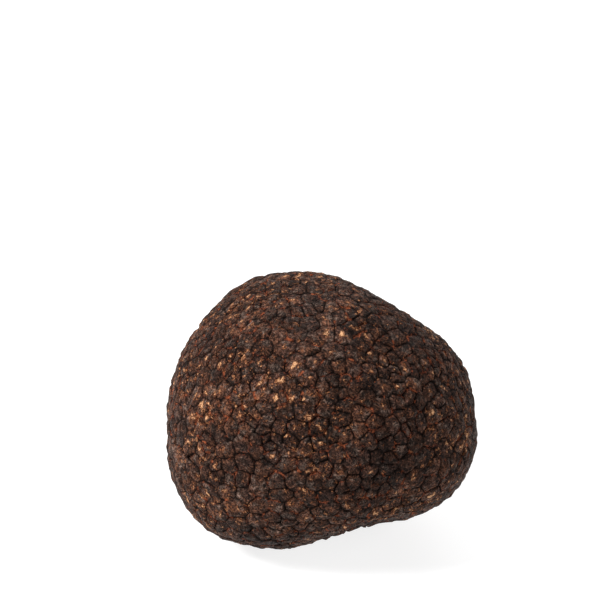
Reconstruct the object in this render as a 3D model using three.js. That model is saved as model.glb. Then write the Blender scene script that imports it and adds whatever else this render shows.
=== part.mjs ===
// A black truffle: one lobed fruiting body, covered all over with low many-sided warts, that rests on a
// small flat spot. It grew as one piece, so it is one solid. Millimetres, +Z up, front towards -Y.
import * as THREE from "three";
import { ConvexHull } from "three/addons/math/ConvexHull.js";

// Driving dimensions of the body, before its lobes and hollows.
const WIDTH = 59;
const DEPTH = 54;
const HEIGHT = 52.5;

// Warts: tip-to-tip distance, tip above and furrow below the body's mean surface, how much tips differ,
// how often their spacing is evened out, and the seed of their scatter.
const WART_WIDTH = 3.1;
const TIP_HEIGHT = 0.3;
const FURROW_DEPTH = 0.25;
const TIP_VARIATION = 0.5;
const EVENING_ROUNDS = 2;
const WART_SEED = 37;

// How much of the underside is worn flat where the truffle rests.
const REST_WEAR = 1.6;

// Lobes and hollows. Azimuth is counted from +X towards +Y and elevation from the horizon, in degrees.
// Rise is in millimetres, negative for a hollow, and at an angle of spread a swelling has faded to a third.
const SWELLINGS = [
  { name: "crown", azimuth: 135, elevation: 50, rise: 3, spread: 30 },
  { name: "hollow beside the crown", azimuth: 40, elevation: 40, rise: -2.5, spread: 25 },
  { name: "heel lobe", azimuth: 210, elevation: -25, rise: 4.5, spread: 30 },
  { name: "left shoulder", azimuth: 175, elevation: 10, rise: 0.5, spread: 20 },
  { name: "cleft under the front", azimuth: 300, elevation: -50, rise: -4.5, spread: 20 },
  { name: "right lobe", azimuth: 345, elevation: -15, rise: 2, spread: 25 },
  { name: "foot of the right lobe", azimuth: 330, elevation: -35, rise: 0.5, spread: 20 },
  { name: "back hollow", azimuth: 70, elevation: -20, rise: -3.5, spread: 20 },
  { name: "back lobe", azimuth: 110, elevation: -20, rise: 2, spread: 20 },
  { name: "brow", azimuth: 260, elevation: 50, rise: 1, spread: 20 },
  { name: "knob on the brow", azimuth: 215, elevation: 55, rise: 1, spread: 15 },
  { name: "hollow on the right shoulder", azimuth: 315, elevation: 50, rise: -1.5, spread: 10 },
  { name: "dent in the front", azimuth: 275, elevation: 20, rise: -1.5, spread: 10 },
  { name: "hollow before the right lobe", azimuth: 315, elevation: 10, rise: -1.5, spread: 10 },
  { name: "groove above the cleft", azimuth: 300, elevation: -10, rise: -1.5, spread: 10 },
];

const radians = THREE.MathUtils.degToRad;

function directionAt(azimuth, elevation) {
  const level = Math.cos(radians(elevation));
  return new THREE.Vector3(
    level * Math.cos(radians(azimuth)),
    level * Math.sin(radians(azimuth)),
    Math.sin(radians(elevation)),
  );
}

for (const swelling of SWELLINGS) {
  swelling.direction = directionAt(swelling.azimuth, swelling.elevation);
  swelling.falloff = 1 - Math.cos(radians(swelling.spread));
}

// Distance from the middle to the body's mean surface in a direction.
function bodyRadius(direction) {
  const { x, y, z } = direction;
  const ellipsoid = 1 / Math.hypot(x / (WIDTH / 2), y / (DEPTH / 2), z / (HEIGHT / 2));
  return SWELLINGS.reduce(
    (radius, { direction: towards, rise, falloff }) =>
      radius + rise * Math.exp((direction.dot(towards) - 1) / falloff),
    ellipsoid,
  );
}

// Repeatable random numbers from 0 to 1.
function randomSource(seed) {
  let state = seed;
  return () => {
    state = (Math.imul(state, 1664525) + 1013904223) >>> 0;
    return state / 2 ** 32;
  };
}

// Wart tips scattered over the sphere of directions.
function scatterTips(count, random) {
  return Array.from({ length: count }, () => {
    const z = 2 * random() - 1;
    const turn = 2 * Math.PI * random();
    const level = Math.sqrt(1 - z * z);
    return new THREE.Vector3(level * Math.cos(turn), level * Math.sin(turn), z);
  });
}

// The furrows round each tip. Three warts meet at each corner, which lies in the direction of a face of the
// tips' convex hull, and each edge of the hull crosses one furrow between two corners.
function findFurrows(tips) {
  const hull = new ConvexHull().setFromPoints(tips);
  const tipIndex = new Map(tips.map((tip, i) => [tip, i]));
  const corners = hull.faces.map((face) => face.normal.clone().normalize());
  const faceIndex = new Map(hull.faces.map((face, i) => [face, i]));
  const furrows = [];
  hull.faces.forEach((face, left) => {
    let edge = face.edge;
    do {
      const right = faceIndex.get(edge.twin.face);
      if (left < right) {
        const from = tipIndex.get(edge.tail().point);
        const to = tipIndex.get(edge.head().point);
        furrows.push({ from, to, left, right });
      }
      edge = edge.next;
    } while (edge !== face.edge);
  });
  return { corners, furrows };
}

// Moves each tip to the middle of its own corners, which evens out the warts.
function evenOut(tips) {
  const { corners, furrows } = findFurrows(tips);
  const sums = tips.map(() => new THREE.Vector3());
  for (const { from, to, left, right } of furrows) {
    for (const tip of [from, to]) {
      sums[tip].add(corners[left]).add(corners[right]);
    }
  }
  return sums.map((sum) => sum.normalize());
}

// The closed surface: a low pyramid on each wart, with its foot in the furrows.
function wartySurface(wartCount, random) {
  let tips = scatterTips(wartCount, random);
  for (let round = 0; round < EVENING_ROUNDS; round++) {
    tips = evenOut(tips);
  }
  const { corners, furrows } = findFurrows(tips);
  const tipPoints = tips.map((direction) => {
    const height = TIP_HEIGHT * (1 + TIP_VARIATION * (2 * random() - 1));
    return direction.clone().multiplyScalar(bodyRadius(direction) + height);
  });
  const cornerPoints = corners.map((direction) =>
    direction.clone().multiplyScalar(bodyRadius(direction) - FURROW_DEPTH),
  );
  const surface = new THREE.BufferGeometry().setFromPoints([...tipPoints, ...cornerPoints]);
  surface.setIndex(
    furrows.flatMap(({ from, to, left, right }) => {
      const leftCorner = tips.length + left;
      const rightCorner = tips.length + right;
      return [from, rightCorner, leftCorner, to, leftCorner, rightCorner];
    }),
  );
  return surface;
}

// Wears the lowest part flat and puts the origin on the flat spot's level, under the middle of the box.
function restOnFlatSpot(surface) {
  surface.computeBoundingBox();
  const floor = surface.boundingBox.min.z + REST_WEAR;
  const position = surface.attributes.position;
  for (let i = 0; i < position.count; i++) {
    position.setZ(i, Math.max(position.getZ(i), floor));
  }
  surface.computeBoundingBox();
  const middle = surface.boundingBox.getCenter(new THREE.Vector3());
  surface.translate(-middle.x, -middle.y, -floor);
}

const meanRadius = (WIDTH + DEPTH + HEIGHT) / 6;
const skinArea = 4 * Math.PI * meanRadius ** 2;
const wartArea = (Math.sqrt(3) / 2) * WART_WIDTH ** 2;
const wartCount = Math.round(skinArea / wartArea);

const surface = wartySurface(wartCount, randomSource(WART_SEED));
restOnFlatSpot(surface);
surface.computeVertexNormals();

const skin = new THREE.MeshStandardMaterial({
  color: 0x33261f,
  roughness: 0.8,
  metalness: 0,
  flatShading: true,
});
const body = new THREE.Mesh(surface, skin);
body.name = "truffle";

const truffle = new THREE.Group();
truffle.add(body);

export default truffle;
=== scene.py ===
# The looks of a black truffle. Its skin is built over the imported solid: every wart of the solid becomes a
# rough low pyramid between sharp furrows, and a procedural rind colours it.
import math
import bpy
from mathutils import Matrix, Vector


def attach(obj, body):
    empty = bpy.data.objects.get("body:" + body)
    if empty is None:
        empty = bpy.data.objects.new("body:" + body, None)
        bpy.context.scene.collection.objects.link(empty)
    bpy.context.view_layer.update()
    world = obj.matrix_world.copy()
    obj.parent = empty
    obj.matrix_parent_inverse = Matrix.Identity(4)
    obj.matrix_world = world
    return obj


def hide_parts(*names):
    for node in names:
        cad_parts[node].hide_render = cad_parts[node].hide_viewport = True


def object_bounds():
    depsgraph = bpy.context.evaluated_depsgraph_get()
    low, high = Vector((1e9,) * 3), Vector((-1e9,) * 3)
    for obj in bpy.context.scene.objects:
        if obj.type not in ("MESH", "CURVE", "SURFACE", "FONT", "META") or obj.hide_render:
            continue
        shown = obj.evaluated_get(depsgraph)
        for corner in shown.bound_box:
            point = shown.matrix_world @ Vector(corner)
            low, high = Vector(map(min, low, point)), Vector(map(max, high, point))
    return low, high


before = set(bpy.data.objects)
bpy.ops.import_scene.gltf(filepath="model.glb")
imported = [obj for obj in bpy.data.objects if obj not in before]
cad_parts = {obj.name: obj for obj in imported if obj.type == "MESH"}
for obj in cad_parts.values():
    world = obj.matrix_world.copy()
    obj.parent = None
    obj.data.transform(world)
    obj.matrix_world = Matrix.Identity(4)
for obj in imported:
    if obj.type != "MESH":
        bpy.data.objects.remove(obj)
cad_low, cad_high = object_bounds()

from types import SimpleNamespace

import bpy
import numpy as np
from mathutils import Vector, noise

NODE = "truffle"
MM = 0.001

# Rows of points from a wart's tip, 0, to its furrow, 1. They crowd towards the furrow, where the walls are.
ROWS = (0, 0.35, 0.62, 0.82, 0.93, 1)

# The skin's relief, in millimetres. Undulations and meanders are pairs of a wavelength and a size.
FURROW_DEPTH = 0.42
FURROW_WIDTH = 0.08
DOME_HEIGHT = 0.17
UNDULATIONS = ((16.0, 0.50), (7.5, 0.30), (2.6, 0.07), (1.2, 0.06), (0.6, 0.07))
MEANDERS = ((5.0, 0.40), (2.2, 0.28), (0.8, 0.14))

# How much warts differ: their height as a share of the dome's, their lean, and the share that ridges take.
PLUMPNESS = (0.45, 1.35)
WART_TILT = 0.075
RIDGE_SHARE = 0.9

# How much furrows differ, as shares of the furrow depth: the deepest furrow, and the corners' range.
DEEPEST_FURROW = 1.3
CORNER_DEPTHS = (0.4, 1.2)

# The skin settles by this much where it rests, and less up to the reach above the surface, in millimetres.
REST_SETTLE = 0.3
REST_REACH = 1.5

SKIN_SEED = 4

# Shifts, in wavelengths, that keep the layers of the undulations and meanders from lining up.
LAYER_SHIFT = 10.0
MEANDER_SHIFT = 50.0

# A length, in millimetres, that is too short to divide by.
TINY = 1e-6


# ---------------------------------------------------------------- the solid's warts

def solid_skin(node):
    """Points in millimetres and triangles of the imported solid, with the points that faces share merged."""
    MERGE_DIGITS = 3
    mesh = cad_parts[node].data
    flat = np.empty(len(mesh.vertices) * 3)
    mesh.vertices.foreach_get("co", flat)
    points = flat.reshape(-1, 3) / MM
    faces = np.empty(len(mesh.polygons) * 3, int)
    mesh.polygons.foreach_get("vertices", faces)
    keys = np.round(points, MERGE_DIGITS)
    _, first, merged = np.unique(keys, axis=0, return_index=True, return_inverse=True)
    return points[first], merged.reshape(-1)[faces].reshape(-1, 3)


def edges_of(triangles):
    """Both directions of every edge."""
    around = triangles[:, [0, 1, 1, 2, 2, 0]].reshape(-1, 2)
    return np.unique(np.concatenate([around, around[:, ::-1]]), axis=0)


def neighbour_mean(values, edges):
    """The mean of each point's neighbours."""
    count = np.bincount(edges[:, 0], minlength=len(values))
    sums = [np.bincount(edges[:, 0], column[edges[:, 1]], len(values)) for column in values.T]
    return np.stack(sums, 1) / count[:, None]


def unit(vectors):
    return vectors / np.linalg.norm(vectors, axis=-1, keepdims=True)


def point_normals(points, triangles):
    a, b, c = (points[triangles[:, k]] for k in range(3))
    across = np.cross(b - a, c - a)
    normals = np.zeros_like(points)
    for k in range(3):
        np.add.at(normals, triangles[:, k], across)
    return unit(normals)


def wart_fans(points, triangles, edges):
    """The triangles as (tip, corner, corner). A wart is a fan of triangles round its tip. The search starts
    at the point that stands highest above its neighbours and crosses every edge to the next triangle."""
    outward = unit(points - points.mean(0))
    rise = ((points - neighbour_mean(points, edges)) * outward).sum(1)
    sides = {}
    for index, triangle in enumerate(triangles.tolist()):
        for k in range(3):
            sides.setdefault(frozenset((triangle[k], triangle[k - 1])), []).append(index)
    highest = int(np.argmax(rise))
    first = int(np.argmax((triangles == highest).any(1)))
    tips = {first: highest}
    waiting = [first]
    while waiting:
        index = waiting.pop()
        triangle = triangles[index].tolist()
        for k in range(3):
            edge = frozenset((triangle[k], triangle[k - 1]))
            for other in sides[edge]:
                if other not in tips:
                    beyond = (set(triangles[other].tolist()) - edge).pop()
                    tips[other] = tips[index] if tips[index] in edge else beyond
                    waiting.append(other)
    return np.array([np.roll(t, -t.tolist().index(tips[i])) for i, t in enumerate(triangles)])


def smooth_body(points, triangles, edges):
    """The body under the warts, and its normals. Heights are evened out twice, first the points' own and
    then what that took away, so the body keeps its swellings, and the flat spot stays flat."""
    HEIGHT_ROUNDS = 4
    NORMAL_ROUNDS = 3
    RESTING_HEIGHT = 0.001
    outward = unit(points - points.mean(0))
    resting = points[:, 2] < RESTING_HEIGHT
    body = points.copy()
    for _ in range(HEIGHT_ROUNDS):
        body += outward * ((neighbour_mean(body, edges) - body) * outward).sum(1, keepdims=True)
    lost = ((points - body) * outward).sum(1, keepdims=True)
    for _ in range(HEIGHT_ROUNDS):
        lost = neighbour_mean(lost, edges)
    body += outward * lost
    body[resting] = points[resting]
    normals = point_normals(body, triangles)
    for _ in range(NORMAL_ROUNDS):
        normals = unit(normals + neighbour_mean(normals, edges))
    return body, normals


# ---------------------------------------------------------------- the fine skin

def noise_at(places, wavelength, offset):
    """Smooth noise, about -1 to 1, with features about a wavelength apart."""
    moved = places / wavelength + offset
    return np.array([noise.noise(Vector(place)) for place in moved.tolist()])


def noise_vectors(places, wavelength, offset):
    """Three noises side by side, for a sideways push. The noise module's own vectors change from one run to
    the next, so they aren't used."""
    APART = 3.7
    return np.stack([noise_at(places, wavelength, offset + APART * axis) for axis in range(3)], 1)


def fan_pattern():
    """How each grid point of a fan triangle is mixed from its tip and corners, and the small triangles."""
    last = len(ROWS) - 1
    start = [row * (row + 1) // 2 for row in range(last + 1)]
    mixes = []
    for row, share in enumerate(ROWS):
        for column in range(row + 1):
            along = column / row if row else 0
            mixes.append((1 - share, share * (1 - along), share * along))
    small = []
    for row in range(last):
        for column in range(row + 1):
            here, below = start[row] + column, start[row + 1] + column
            small.append((here, below, below + 1))
            if column < row:
                small.append((here, below + 1, here + 1))
    return np.array(mixes), np.array(small)


def furrow_strength(fans, along, randoms):
    """How deep each grid point's furrow is. Every furrow has its own depth, and so has every corner."""
    SHALLOW_BIAS = 1.4
    CORNER_SHARPNESS = 3
    _, furrow = np.unique(np.sort(fans[:, 1:], axis=1), axis=0, return_inverse=True)
    depths = DEEPEST_FURROW * randoms.uniform(0, 1, furrow.max() + 1) ** SHALLOW_BIAS
    furrow_depth = depths[furrow.reshape(-1)]
    corner_depth = randoms.uniform(*CORNER_DEPTHS, fans.max() + 1)
    nearness = np.abs(2 * along - 1) ** CORNER_SHARPNESS
    nearest = np.where(along[None, :] < 0.5, corner_depth[fans[:, 1:2]], corner_depth[fans[:, 2:3]])
    return furrow_depth[:, None] * (1 - nearness) + nearest * nearness


def ridge_height(fans, along, randoms):
    """How proud each grid point is of an even pyramid, from -1 to 1. Ridges run from a wart's tip to its
    corners, with another down the middle of each facet."""
    _, spoke = np.unique(np.sort(fans[:, [0, 1, 0, 2]].reshape(-1, 2), axis=1), axis=0, return_inverse=True)
    spokes = randoms.uniform(-1, 1, spoke.max() + 1)[spoke.reshape(-1)].reshape(-1, 2)
    middles = randoms.uniform(-1, 1, len(fans))
    towards_middle = 1 - np.abs(2 * along - 1)
    ends = np.where(along[None, :] < 0.5, spokes[:, :1], spokes[:, 1:])
    return ends * (1 - towards_middle) + middles[:, None] * towards_middle


def wart_height(fans, from_tip, share, along, warts, randoms):
    """Each grid point's height over the body, before its furrow is cut."""
    LEAN_HOLD = 4
    plumpness = randoms.uniform(*PLUMPNESS, warts)[fans[:, 0]][:, None]
    tilt = randoms.normal(0, WART_TILT, (warts, 3))[fans[:, 0]]
    lean = (from_tip * tilt[:, None]).sum(2) * (1 - share**LEAN_HOLD)
    ridges = 1 + RIDGE_SHARE * ridge_height(fans, along, randoms) * np.sin(math.pi * share)
    return DOME_HEIGHT * plumpness * ridges * (1 - share**2) + lean


def spoke_places(fans, from_tip, outward, warts, randoms):
    """Each grid point's place on a circle round its wart's tip. Every wart has a circle of its own."""
    CIRCLES_APART = 90
    level = from_tip - outward * (from_tip * outward).sum(2, keepdims=True)
    spoke = level / np.maximum(np.linalg.norm(level, axis=2, keepdims=True), TINY)
    return spoke + randoms.uniform(0, CIRCLES_APART, (warts, 1))[fans[:, 0]][:, None]


def weathered(spots, outward, height):
    """The points with their height, the broad and fine unevenness, and a sideways wander, at rest."""
    for step, (wavelength, size) in enumerate(UNDULATIONS):
        height = height + size * noise_at(spots, wavelength, LAYER_SHIFT * step)
    wander = sum(
        size * noise_vectors(spots, wavelength, MEANDER_SHIFT + LAYER_SHIFT * step)
        for step, (wavelength, size) in enumerate(MEANDERS)
    )
    wander -= outward * (wander * outward).sum(1, keepdims=True)
    finished = spots + wander + outward * height[:, None]
    settle = REST_SETTLE * np.clip(1 - finished[:, 2] / REST_REACH, 0, 1)
    finished[:, 2] = np.maximum(finished[:, 2] - settle, 0)
    return finished


def fine_skin():
    """Points, triangles and measures of the finished skin, in millimetres."""
    MERGE_DIGITS = 5
    points, triangles = solid_skin(NODE)
    edges = edges_of(triangles)
    fans = wart_fans(points, triangles, edges)
    body, normals = smooth_body(points, triangles, edges)
    randoms = np.random.default_rng(SKIN_SEED)
    warts = len(points)

    mixes, small = fan_pattern()
    share = 1 - mixes[:, 0]
    along = np.divide(mixes[:, 2], share, out=np.full_like(share, 0.5), where=share > 0)
    spots = np.einsum("gk,tkc->tgc", mixes, body[fans])
    outward = unit(np.einsum("gk,tkc->tgc", mixes, normals[fans]))

    tip, left, right = (body[fans[:, k]] for k in range(3))
    foot = np.linalg.norm(right - left, axis=1)
    reach = np.linalg.norm(np.cross(left - tip, right - tip), axis=1) / np.maximum(foot, TINY)
    furrow_distance = reach[:, None] * (1 - share)
    from_tip = spots - tip[:, None]
    strength = furrow_strength(fans, along, randoms)
    height = wart_height(fans, from_tip, share, along, warts, randoms)
    height = height - FURROW_DEPTH * strength * np.exp(-furrow_distance / FURROW_WIDTH)
    spoke = spoke_places(fans, from_tip, outward, warts, randoms)

    keys = np.round(spots.reshape(-1, 3), MERGE_DIGITS)
    _, first, merged = np.unique(keys, axis=0, return_index=True, return_inverse=True)
    merged = merged.reshape(-1)
    count = np.bincount(merged)

    def shared(values):
        return np.bincount(merged, values.reshape(-1)) / count

    finished = weathered(spots.reshape(-1, 3)[first], outward.reshape(-1, 3)[first], shared(height))
    faces = merged[(small[None] + (np.arange(len(fans)) * len(mixes))[:, None, None]).reshape(-1, 3)]
    whole = (np.diff(np.sort(faces, axis=1), axis=1) > 0).all(1)
    wart_shade = np.repeat(randoms.uniform(0, 1, warts)[fans[:, 0]], len(small))
    return SimpleNamespace(
        points=finished,
        faces=faces[whole],
        wart_shade=wart_shade[whole],
        spokes=spoke[:, small].reshape(-1, 3, 3)[whole],
        measures={
            "furrow_distance": shared(furrow_distance),
            "tip_share": shared(np.broadcast_to(1 - share, furrow_distance.shape)),
            "furrow_strength": shared(strength),
        },
    )


def give_bake_map(mesh, points, faces):
    """A map of six charts, one for each side of a cube round the body, for baking. No material reads it."""
    MARGIN = 0.03
    FILL = 0.97
    centred = unit(points - points.mean(0))
    middles = centred[faces].mean(1)
    axis = np.abs(middles).argmax(1)
    positive = middles[np.arange(len(faces)), axis] > 0
    corners = centred[faces]
    depth = np.take_along_axis(corners, axis[:, None, None], 2)
    across = np.take_along_axis(corners, ((axis + 1) % 3)[:, None, None], 2)
    upward = np.take_along_axis(corners, ((axis + 2) % 3)[:, None, None], 2)
    sides = np.concatenate([across, upward], 2) / np.abs(depth)
    spread = np.arctan(sides) / (math.pi / 4)
    cell = (1 - 2 * MARGIN) * (spread * FILL + 1) / 2 + MARGIN
    cell[~positive, :, 0] = 1 - cell[~positive, :, 0]
    cell[:, :, 0] = (cell[:, :, 0] + axis[:, None]) / 3
    cell[:, :, 1] = (cell[:, :, 1] + positive[:, None]) / 2
    layer = mesh.uv_layers.new(name="OFBake")
    layer.data.foreach_set("uv", cell.reshape(-1).astype(np.float32))


def make_skin():
    fine = fine_skin()
    mesh = bpy.data.meshes.new("truffle_skin")
    mesh.from_pydata((fine.points * MM).tolist(), [], fine.faces.tolist())
    mesh.shade_smooth()

    def give(name, kind, domain, field, values):
        attribute = mesh.attributes.new(name, kind, domain)
        attribute.data.foreach_set(field, values.reshape(-1).astype(np.float32))

    for name, values in fine.measures.items():
        give(name, "FLOAT", "POINT", "value", values)
    give("wart_shade", "FLOAT", "FACE", "value", fine.wart_shade)
    give("spoke", "FLOAT_VECTOR", "CORNER", "vector", fine.spokes)
    give_bake_map(mesh, fine.points, fine.faces)
    mesh.update()
    skin = bpy.data.objects.new("truffle_skin", mesh)
    bpy.context.scene.collection.objects.link(skin)
    return skin


# ---------------------------------------------------------------- material

def tone(red, green, blue):
    """A colour given in screen values from 0 to 255."""
    def linear(value):
        value /= 255
        return value / 12.92 if value <= 0.04045 else ((value + 0.055) / 1.055) ** 2.4

    return (linear(red), linear(green), linear(blue), 1)


UMBER = tone(46, 30, 24)
CHESTNUT = tone(60, 37, 26)
ASH = tone(65, 54, 48)
# Painted shade, put in the furrows.
FURROW_SHADE = tone(16, 5, 2)
RUST = tone(98, 46, 29)
ORANGE = tone(150, 80, 50)
OCHRE = tone(130, 76, 44)
TAN = tone(208, 158, 116)

# The rind's roughness, which the grit varies, and its weak gloss.
DULL = 0.80
WAXY = 0.50
GLOSS = 0.08

# The rind's patterns: how far apart their features are in millimetres, their detail, their roughness, and a
# shift that keeps them from lining up.
PATTERNS = {
    "lumps": (0.85, 3.0, 0.65, 0.0),
    "grit": (0.42, 2.0, 0.7, 40.0),
    "streaks": (0.30, 1.0, 0.5, 0.0),
    "furrow shade breaks": (1.8, 1.0, 0.5, 70.0),
    "chestnut patches": (3.2, 3.0, 0.6, 20.0),
    "ashy patches": (1.6, 3.0, 0.6, 60.0),
    "shaded areas": (6.5, 2.0, 0.5, 55.0),
    "rusty patches": (2.0, 3.0, 0.7, 80.0),
    "worn areas": (15.0, 2.0, 0.5, 12.0),
    "flecks": (1.3, 4.0, 0.75, 100.0),
}

# Its lines, which are crests of ridged noise: the distance, the detail and the shift, as above.
LINES = {
    "creases": (1.7, 2.0, 0.0),
    "wrinkles": (0.75, 2.0, 0.0),
    "threads": (0.85, 1.0, 33.0),
}

# Swirls push the patterns out of shape: how many there are in a millimetre, and how far they push at most.
SWIRL_SCALE = 0.9
SLIGHT_SWIRL = 0.8
STRONG_SWIRL = 3.2

# How far the rind stands out in millimetres where each pattern is full, negative for a groove.
RELIEF = {
    "lumps": 0.85,
    "creases": -0.16,
    "wrinkles": -0.12,
    "threads": 0.16,
    "grit": 0.36,
    "tip_share": 0.14,
    "side_streaks": 0.09,
}


class Recipe:
    """A material's nodes, with a short call for each kind that it uses."""

    def __init__(self, name):
        self.material = bpy.data.materials.new(name)
        self.material.use_nodes = True
        self.tree = self.material.node_tree
        self.shader = self.tree.nodes["Principled BSDF"]

    def add(self, kind, inputs=(), **settings):
        node = self.tree.nodes.new(kind)
        for key, value in settings.items():
            setattr(node, key, value)
        for key, value in dict(inputs).items():
            self.put(value, node.inputs[key])
        return node

    def put(self, value, socket):
        if isinstance(value, bpy.types.NodeSocket):
            self.tree.links.new(value, socket)
        else:
            socket.default_value = value

    def measure(self, name):
        return self.add("ShaderNodeAttribute", attribute_name=name).outputs["Fac"]

    def math(self, operation, first, second):
        return self.add("ShaderNodeMath", {0: first, 1: second}, operation=operation).outputs[0]

    def stretched(self, vector, size):
        return self.add("ShaderNodeVectorMath", {0: vector, "Scale": size}, operation="SCALE").outputs[0]

    def moved(self, vector, push):
        return self.add("ShaderNodeVectorMath", {0: vector, 1: push}, operation="ADD").outputs[0]

    def places(self):
        """Where on the truffle, in millimetres."""
        return self.stretched(self.add("ShaderNodeTexCoord").outputs["Object"], 1 / MM)

    def spoke(self):
        """A place on a circle round the wart's tip, for streaks that run down its sides."""
        return self.add("ShaderNodeAttribute", attribute_name="spoke").outputs["Vector"]

    def swirl(self, places):
        sockets = {"Vector": places, "Scale": SWIRL_SCALE, "Detail": 2.0}
        return self.add("ShaderNodeTexNoise", sockets).outputs["Color"]

    def pattern(self, name, places):
        wavelength, detail, roughness, shift = PATTERNS[name]
        moved = self.moved(places, (shift,) * 3)
        sockets = {"Vector": moved, "Scale": 1 / wavelength, "Detail": detail, "Roughness": roughness}
        return self.add("ShaderNodeTexNoise", sockets).outputs["Fac"]

    def lines(self, name, places):
        """About 0 between the lines and 1 on them."""
        HIGHEST_CREST = 2.0
        wavelength, detail, shift = LINES[name]
        moved = self.moved(places, (shift,) * 3)
        sockets = {"Vector": moved, "Scale": 1 / wavelength, "Detail": detail, "Roughness": 0.5}
        crests = self.add("ShaderNodeTexNoise", sockets, noise_type="RIDGED_MULTIFRACTAL").outputs["Fac"]
        return self.fade(crests, 0.0, HIGHEST_CREST)

    def fade(self, value, low, high):
        """0 where value is at low, 1 where it is at high, smooth between."""
        sockets = {"Value": value, "From Min": low, "From Max": high}
        return self.add("ShaderNodeMapRange", sockets, interpolation_type="SMOOTHSTEP").outputs[0]

    def scaled(self, value, low, high):
        """Turns 0 to 1 into low to high."""
        return self.add("ShaderNodeMapRange", {"Value": value, "To Min": low, "To Max": high}).outputs[0]

    def mix(self, share, first, second, blend="MIX"):
        node = self.add("ShaderNodeMix", data_type="RGBA", blend_type=blend)
        for value, index in ((share, 0), (first, 6), (second, 7)):
            self.put(value, node.inputs[index])
        return node.outputs[2]


def rind_texture(recipe):
    """The patterns and lines that colour and relief share, from 0 to 1, and where they are looked up."""
    places = recipe.places()
    swirl = recipe.swirl(places)
    slight = recipe.stretched(swirl, SLIGHT_SWIRL)
    warped = recipe.moved(places, slight)
    stringy = recipe.moved(places, recipe.stretched(swirl, STRONG_SWIRL))
    tip_share = recipe.measure("tip_share")
    return SimpleNamespace(
        places=places,
        warped=warped,
        lumps=recipe.pattern("lumps", warped),
        grit=recipe.pattern("grit", stringy),
        creases=recipe.fade(recipe.lines("creases", warped), 0.62, 0.90),
        wrinkles=recipe.fade(recipe.lines("wrinkles", warped), 0.50, 0.85),
        threads=recipe.fade(recipe.lines("threads", warped), 0.54, 0.84),
        streaks=recipe.fade(recipe.pattern("streaks", recipe.moved(recipe.spoke(), slight)), 0.35, 0.65),
        tip_share=tip_share,
        side=recipe.fade(tip_share, 0.90, 0.50),
    )


def furrow_distance(recipe, texture):
    """The distance to the furrow in millimetres, with a ragged edge."""
    RAGGED_EDGE = 0.14
    ragged = recipe.scaled(texture.lumps, -RAGGED_EDGE, RAGGED_EDGE)
    return recipe.math("ADD", recipe.measure("furrow_distance"), ragged)


def tone_and_painted_shade(recipe, texture, near_furrow):
    """The grey that multiplies the rind's colour. It is partly the rind's own tone, which differs at random
    between warts, areas and streaks, and partly painted shade and light that follow the relief. Each row
    gives a mask and the shades at its 0 and 1.
    """
    areas = recipe.fade(recipe.pattern("shaded areas", texture.places), 0.35, 0.65)
    shade = recipe.math("MULTIPLY", texture.side, recipe.scaled(texture.streaks, -0.55, 0.55))
    shade = recipe.math("ADD", shade, 1.0)
    for value, at_none, at_full in (
        (recipe.measure("wart_shade"), 0.70, 1.30),
        # Painted shade where the lumps and grit are low in the relief, and painted light where they stand
        # out.
        (recipe.fade(texture.lumps, 0.38, 0.62), 0.48, 1.54),
        (recipe.fade(texture.grit, 0.40, 0.60), 0.38, 1.86),
        (areas, 0.75, 1.25),
        # Painted shade in the creases and wrinkles that the relief cuts.
        (texture.creases, 1.10, 0.30),
        (texture.wrinkles, 1.10, 0.28),
        # Painted highlight on the threads, which the relief raises.
        (texture.threads, 0.84, 2.60),
        # Painted shade near the furrows.
        (near_furrow, 1.10, 0.66),
    ):
        shade = recipe.math("MULTIPLY", shade, recipe.scaled(value, at_none, at_full))
    return recipe.add("ShaderNodeCombineColor", {0: shade, 1: shade, 2: shade}).outputs[0]


def worn_flecks(recipe, texture):
    """Noise that is highest where the dark rind is rubbed off: at the tips of some warts, in some areas."""
    UNWORN_AREA = 0.07
    WORN_TIP = (0.02, 0.13)
    area = recipe.fade(recipe.pattern("worn areas", texture.places), 0.38, 0.62)
    wart = recipe.fade(recipe.measure("wart_shade"), 0.45, 0.95)
    near_tip = recipe.fade(texture.tip_share, 0.40, 1.0)
    tip = recipe.math("MULTIPLY", near_tip, recipe.scaled(wart, *WORN_TIP))
    hidden = recipe.scaled(area, UNWORN_AREA, 0.0)
    flecks = recipe.math("SUBTRACT", recipe.pattern("flecks", texture.warped), hidden)
    return recipe.math("ADD", flecks, tip)


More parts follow.
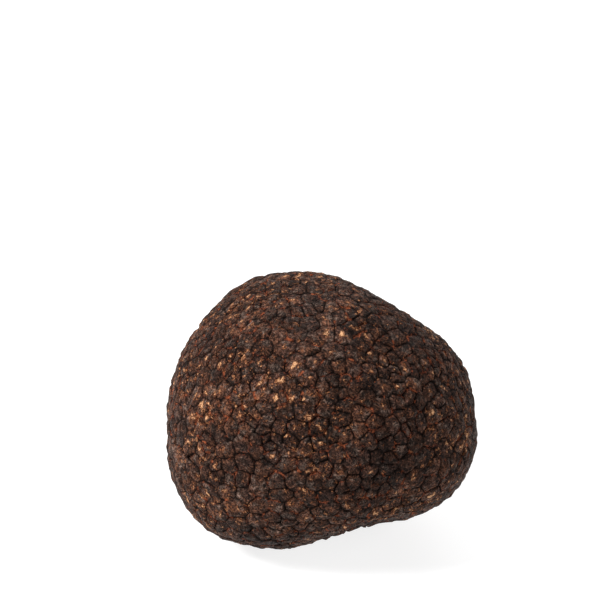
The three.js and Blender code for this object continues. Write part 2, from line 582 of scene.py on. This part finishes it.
def rind_colour(recipe, texture):
    ASH_SHARE = 0.75
    distance = furrow_distance(recipe, texture)
    near_furrow = recipe.fade(distance, 0.50, 0.10)
    chestnut = recipe.fade(recipe.pattern("chestnut patches", texture.places), 0.40, 0.60)
    ashy = recipe.fade(recipe.pattern("ashy patches", texture.places), 0.48, 0.64)
    colour = recipe.mix(chestnut, UMBER, CHESTNUT)
    colour = recipe.mix(recipe.math("MULTIPLY", ashy, ASH_SHARE), colour, ASH)
    # The rind's random tone, and painted shade and light that follow the relief, multiply its colour.
    colour = recipe.mix(1.0, colour, tone_and_painted_shade(recipe, texture, near_furrow), "MULTIPLY")

    rusty_patch = recipe.pattern("rusty patches", texture.places)
    rusty_edge = recipe.math("MULTIPLY", near_furrow, recipe.fade(texture.grit, 0.40, 0.58))
    rusty = recipe.math("MULTIPLY", recipe.fade(rusty_patch, 0.50, 0.62), rusty_edge)
    colour = recipe.mix(rusty, colour, RUST)

    flecks = worn_flecks(recipe, texture)
    grain = recipe.fade(texture.grit, 0.36, 0.52)
    colour = recipe.mix(recipe.math("MULTIPLY", recipe.fade(flecks, 0.530, 0.615), grain), colour, OCHRE)
    colour = recipe.mix(recipe.math("MULTIPLY", recipe.fade(flecks, 0.600, 0.650), grain), colour, TAN)

    # Painted shade in the furrows: blacker where a furrow is deeper, and left out along stretches that a
    # pattern picks at random.
    deep = recipe.fade(recipe.measure("furrow_strength"), 0.10, 0.55)
    clear = recipe.fade(recipe.pattern("furrow shade breaks", texture.places), 0.26, 0.44)
    open_furrow = recipe.math("MULTIPLY", deep, clear)
    painted_furrow_shade = recipe.math("MULTIPLY", recipe.fade(distance, 0.20, 0.03), open_furrow)
    colour = recipe.mix(painted_furrow_shade, colour, FURROW_SHADE)

    gritty = recipe.fade(texture.grit, 0.30, 0.50)
    fiery_line = recipe.math("MULTIPLY", recipe.fade(distance, 0.32, 0.06), gritty)
    fiery = recipe.math("MULTIPLY", recipe.fade(rusty_patch, 0.57, 0.65), fiery_line)
    return recipe.mix(fiery, colour, ORANGE)


def rind_relief(recipe, texture):
    """The fine relief's height, in millimetres."""
    patterns = dict(vars(texture), side_streaks=recipe.math("MULTIPLY", texture.side, texture.streaks))
    relief = 0.0
    for name, height in RELIEF.items():
        relief = recipe.math("ADD", recipe.math("MULTIPLY", patterns[name], height), relief)
    return relief


def rind():
    recipe = Recipe("truffle_rind")
    texture = rind_texture(recipe)
    roughness = recipe.scaled(recipe.fade(texture.grit, 0.40, 0.60), DULL, WAXY)
    relief = rind_relief(recipe, texture)
    bump = recipe.add("ShaderNodeBump", {"Height": relief, "Distance": MM, "Strength": 1.0})
    recipe.put(rind_colour(recipe, texture), recipe.shader.inputs["Base Color"])
    recipe.put(roughness, recipe.shader.inputs["Roughness"])
    recipe.put(bump.outputs[0], recipe.shader.inputs["Normal"])
    recipe.put(GLOSS, recipe.shader.inputs["Specular IOR Level"])
    return recipe.material


# ---------------------------------------------------------------- stage

FLOOR_HALF = 1.5
FLOOR_GAP = 0.05 * MM
FLOOR_TONE = tone(145, 145, 145)
FLOOR_GLOW = 0.82


def make_floor():
    """A pale sheet, just under what the truffle rests on, so that the two don't share a plane."""
    mesh = bpy.data.meshes.new("floor")
    corners = [(-1, -1), (1, -1), (1, 1), (-1, 1)]
    level = cad_low.z - FLOOR_GAP
    mesh.from_pydata([(FLOOR_HALF * x, FLOOR_HALF * y, level) for x, y in corners], [], [(0, 1, 2, 3)])
    floor = bpy.data.objects.new("floor", mesh)
    bpy.context.scene.collection.objects.link(floor)
    paper = Recipe("pale_paper")
    paper.put(FLOOR_TONE, paper.shader.inputs["Base Color"])
    paper.put(0.9, paper.shader.inputs["Roughness"])
    paper.put((1, 1, 1, 1), paper.shader.inputs["Emission Color"])
    paper.put(FLOOR_GLOW, paper.shader.inputs["Emission Strength"])
    mesh.materials.append(paper.material)


def soft_box(name, azimuth, elevation, distance, width, watts):
    """A square lamp that faces the truffle's middle."""
    lamp = bpy.data.lights.new(name, "AREA")
    lamp.size = width
    lamp.energy = watts
    holder = bpy.data.objects.new(name, lamp)
    turn, lift = math.radians(azimuth), math.radians(elevation)
    back = Vector((math.cos(turn) * math.cos(lift), math.sin(turn) * math.cos(lift), math.sin(lift)))
    holder.location = (cad_low + cad_high) / 2 + back * distance
    holder.rotation_euler = back.to_track_quat("Z", "Y").to_euler()
    bpy.context.scene.collection.objects.link(holder)


def light_studio():
    """A pale room. The camera sees it as white, and the truffle is lit by less of it than by the lamps."""
    ROOM_SEEN = 1.0
    ROOM_LIGHT = 0.22
    world = bpy.data.worlds.new("pale_room")
    world.use_nodes = True
    room = world.node_tree.nodes["Background"]
    room.inputs["Color"].default_value = (1, 1, 1, 1)
    ray = world.node_tree.nodes.new("ShaderNodeLightPath")
    strength = world.node_tree.nodes.new("ShaderNodeMapRange")
    strength.inputs["To Min"].default_value = ROOM_LIGHT
    strength.inputs["To Max"].default_value = ROOM_SEEN
    world.node_tree.links.new(ray.outputs["Is Camera Ray"], strength.inputs["Value"])
    world.node_tree.links.new(strength.outputs[0], room.inputs["Strength"])
    bpy.context.scene.world = world
    soft_box("key", azimuth=200, elevation=42, distance=0.50, width=0.14, watts=4.4)
    soft_box("fill", azimuth=335, elevation=30, distance=0.60, width=0.25, watts=1.0)
    soft_box("back", azimuth=75, elevation=40, distance=0.60, width=0.45, watts=2.2)
    bpy.context.scene.view_settings.view_transform = "Standard"


def place_camera():
    """The camera looks along +Y and down, with the truffle low in its view."""
    ELEVATION = math.radians(27)
    DISTANCE = 0.400
    AIM_OFFSET = Vector((-0.0048, 0.0094, 0.0196))
    SENSOR_WIDTH = 36
    FOCAL_LENGTH = 122.7
    lens = bpy.data.cameras.new("camera")
    lens.sensor_width = SENSOR_WIDTH
    lens.lens = FOCAL_LENGTH
    camera = bpy.data.objects.new("camera", lens)
    back = Vector((0, -math.cos(ELEVATION), math.sin(ELEVATION)))
    camera.location = (cad_low + cad_high) / 2 + AIM_OFFSET + back * DISTANCE
    camera.rotation_euler = back.to_track_quat("Z", "Y").to_euler()
    bpy.context.scene.collection.objects.link(camera)
    bpy.context.scene.camera = camera


# ---------------------------------------------------------------- build

skin = make_skin()
skin.data.materials.append(rind())
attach(skin, "root")
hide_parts(NODE)
make_floor()
light_studio()
place_camera()
